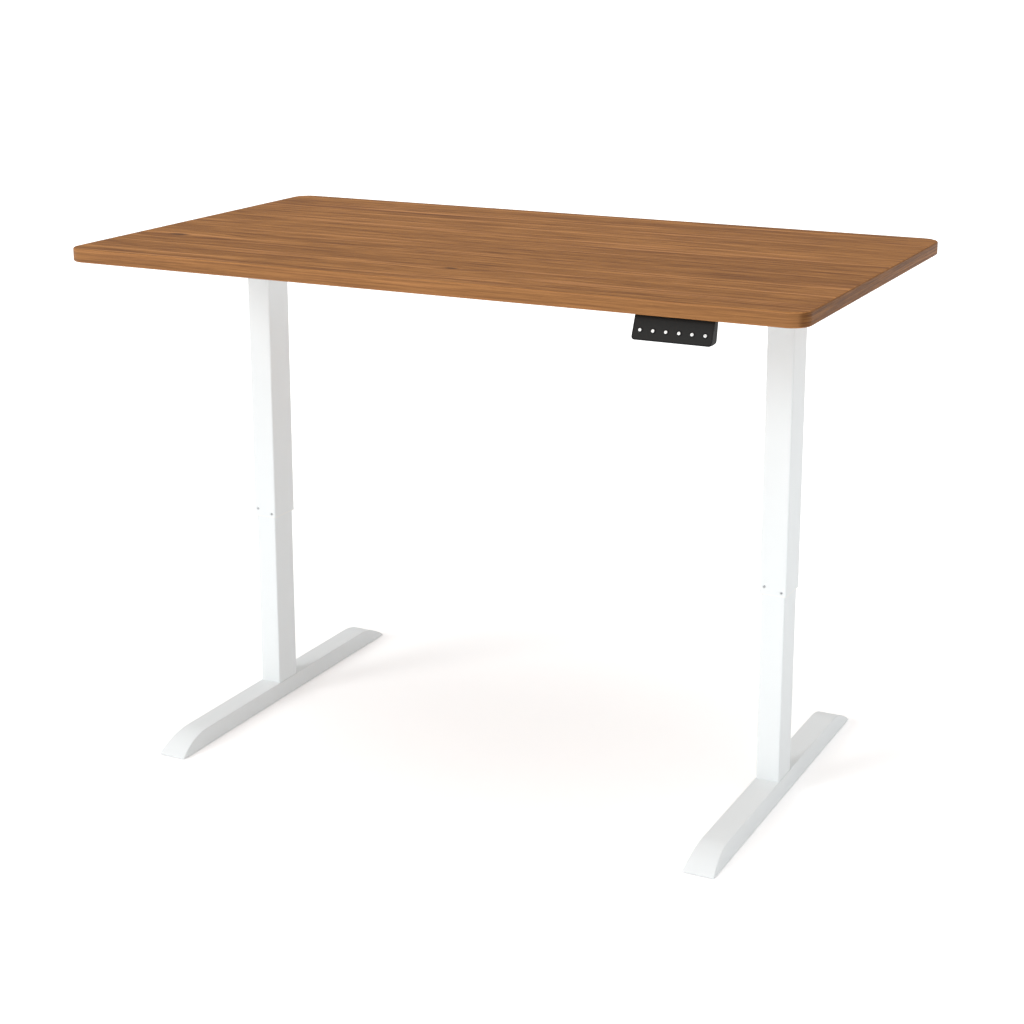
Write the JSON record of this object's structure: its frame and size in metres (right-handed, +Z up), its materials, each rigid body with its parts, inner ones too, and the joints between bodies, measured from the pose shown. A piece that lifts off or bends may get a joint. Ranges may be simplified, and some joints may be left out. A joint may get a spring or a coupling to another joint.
{
  "type": "height adjustable standing desk",
  "caption": "Electric sit-stand desk: a rounded woodgrain top on two white telescopic steel legs with long flat feet, and a push-button handset under its front edge.",
  "frame": {"origin": "on the floor under the middle of the desktop, at the height it stands at in the model", "axes": "+X along the desk to the user's right, +Y to the back, away from the user, +Z up"},
  "size_m": [1.4, 0.8, 0.976],
  "materials": {
    "desktop_board": "walnut coloured woodgrain, matt lacquer",
    "white_frame": "fine textured powder coat, satin",
    "steel_parts": "zinc plated",
    "gear_steel": "machined, oiled",
    "bearing_steel": "ground",
    "case_metal": "die cast",
    "motor_steel": "black enamel",
    "guide_plastic": "white acetal",
    "nut_plastic": "black acetal",
    "black_plastic": "fine textured moulding",
    "ring_plastic": "polished black",
    "button_plastic": "white, satin gloss",
    "circuit_board": "green lacquered laminate",
    "leveller_rubber": "black moulded"
  },
  "bodies": {
    "left_base": {"left_foot": "white_frame", "left_foot_bolts": "steel_parts", "left_nut_bars": "steel_parts", "left_tube_base": "steel_parts", "left_inner_tube": "white_frame", "left_upper_glide": "guide_plastic", "left_spindle_nut": "nut_plastic"},
    "top": {"desktop": "desktop_board", "desktop_screws": "steel_parts", "front_rail": "white_frame", "rear_rail": "white_frame", "rail_bolts": "steel_parts", "left_bracket": "white_frame", "right_bracket": "white_frame", "left_outer_tube": "white_frame", "right_outer_tube": "white_frame", "lower_glides": "guide_plastic", "glide_screws": "steel_parts", "left_gear_case": "case_metal", "right_gear_case": "case_metal", "gear_case_caps": "case_metal", "gearbox_bearings": "bearing_steel", "motor_plate": "white_frame", "reduction_case": "case_metal", "reduction_cover": "case_metal", "motor_can": "motor_steel", "control_base": "black_plastic", "control_lid": "black_plastic", "control_board": "circuit_board", "mains_inlet": "black_plastic", "cable_sockets": "black_plastic", "handset_housing": "black_plastic", "handset_face": "black_plastic", "handset_board": "circuit_board", "button_rings": "ring_plastic"},
    "right_base": {"right_foot": "white_frame", "right_foot_bolts": "steel_parts", "right_nut_bars": "steel_parts", "right_tube_base": "steel_parts", "right_inner_tube": "white_frame", "right_upper_glide": "guide_plastic", "right_spindle_nut": "nut_plastic"},
    "left_screw": {"left_spindle": "steel_parts", "left_spindle_gear": "gear_steel"},
    "right_screw": {"right_spindle": "steel_parts", "right_spindle_gear": "gear_steel"},
    "drive_line": {"drive_shaft": "gear_steel", "shaft_gears": "gear_steel", "reduction_gear": "gear_steel"},
    "rotor": {"motor_rotor": "gear_steel"},
    "left_front_foot_screw": {"left_front_leveller": "leveller_rubber"},
    "left_rear_foot_screw": {"left_rear_leveller": "leveller_rubber"},
    "right_front_foot_screw": {"right_front_leveller": "leveller_rubber"},
    "right_rear_foot_screw": {"right_rear_leveller": "leveller_rubber"},
    "key_1": {"button_1": "button_plastic"},
    "key_2": {"button_2": "button_plastic"},
    "key_3": {"button_3": "button_plastic"},
    "key_4": {"button_4": "button_plastic"},
    "key_5": {"button_5": "button_plastic"},
    "key_6": {"button_6": "button_plastic"}
  },
  "joints": [
    {"name": "desk_lift", "type": "slide", "parent": "left_base", "child": "top", "axis": [0, 0, 1], "range_m": [-0.31, 0.09]},
    {"name": "right_leg_slide", "type": "slide", "parent": "top", "child": "right_base", "axis": [0, 0, 1], "range_m": [-0.0905, 0.3105]},
    {"name": "left_spindle_turn", "type": "hinge", "parent": "top", "child": "left_screw", "pos_m": [-0.536, 0.01, 0.7], "axis": [0, 0, 1], "range_deg": [-11180, 3260]},
    {"name": "right_spindle_turn", "type": "hinge", "parent": "top", "child": "right_screw", "pos_m": [0.536, 0.01, 0.7], "axis": [0, 0, 1], "range_deg": [-11180, 3260]},
    {"name": "drive_shaft_turn", "type": "hinge", "parent": "top", "child": "drive_line", "pos_m": [0, 0.01, 0.917], "axis": [1, 0, 0], "range_deg": [-11180, 3260]},
    {"name": "motor_turn", "type": "hinge", "parent": "top", "child": "rotor", "pos_m": [-0.35, 0.04, 0.917], "axis": [1, 0, 0], "range_deg": [-9740, 33500]},
    {"name": "left_front_leveller_screw", "type": "slide", "parent": "left_base", "child": "left_front_foot_screw", "axis": [0, 0, -1], "range_m": [0, 0.008]},
    {"name": "left_rear_leveller_screw", "type": "slide", "parent": "left_base", "child": "left_rear_foot_screw", "axis": [0, 0, -1], "range_m": [0, 0.008]},
    {"name": "right_front_leveller_screw", "type": "slide", "parent": "right_base", "child": "right_front_foot_screw", "axis": [0, 0, -1], "range_m": [0, 0.008]},
    {"name": "right_rear_leveller_screw", "type": "slide", "parent": "right_base", "child": "right_rear_foot_screw", "axis": [0, 0, -1], "range_m": [0, 0.008]},
    {"name": "button_1_press", "type": "slide", "parent": "top", "child": "key_1", "axis": [0, 0.9205, -0.3907], "range_m": [0, 0.0006], "stiffness_N_per_m": 800, "springref_m": -0.0005},
    {"name": "button_2_press", "type": "slide", "parent": "top", "child": "key_2", "axis": [0, 0.9205, -0.3907], "range_m": [0, 0.0006], "stiffness_N_per_m": 800, "springref_m": -0.0005},
    {"name": "button_3_press", "type": "slide", "parent": "top", "child": "key_3", "axis": [0, 0.9205, -0.3907], "range_m": [0, 0.0006], "stiffness_N_per_m": 800, "springref_m": -0.0005},
    {"name": "button_4_press", "type": "slide", "parent": "top", "child": "key_4", "axis": [0, 0.9205, -0.3907], "range_m": [0, 0.0006], "stiffness_N_per_m": 800, "springref_m": -0.0005},
    {"name": "button_5_press", "type": "slide", "parent": "top", "child": "key_5", "axis": [0, 0.9205, -0.3907], "range_m": [0, 0.0006], "stiffness_N_per_m": 800, "springref_m": -0.0005},
    {"name": "button_6_press", "type": "slide", "parent": "top", "child": "key_6", "axis": [0, 0.9205, -0.3907], "range_m": [0, 0.0006], "stiffness_N_per_m": 800, "springref_m": -0.0005}
  ],
  "couplings": [
    {"joint": "right_leg_slide", "follows": "desk_lift", "ratio": -1},
    {"joint": "left_spindle_turn", "follows": "desk_lift", "rad_per_m": 628.32},
    {"joint": "right_spindle_turn", "follows": "desk_lift", "rad_per_m": 628.32},
    {"joint": "drive_shaft_turn", "follows": "desk_lift", "rad_per_m": 628.32},
    {"joint": "motor_turn", "follows": "desk_lift", "rad_per_m": -1885}
  ]
}
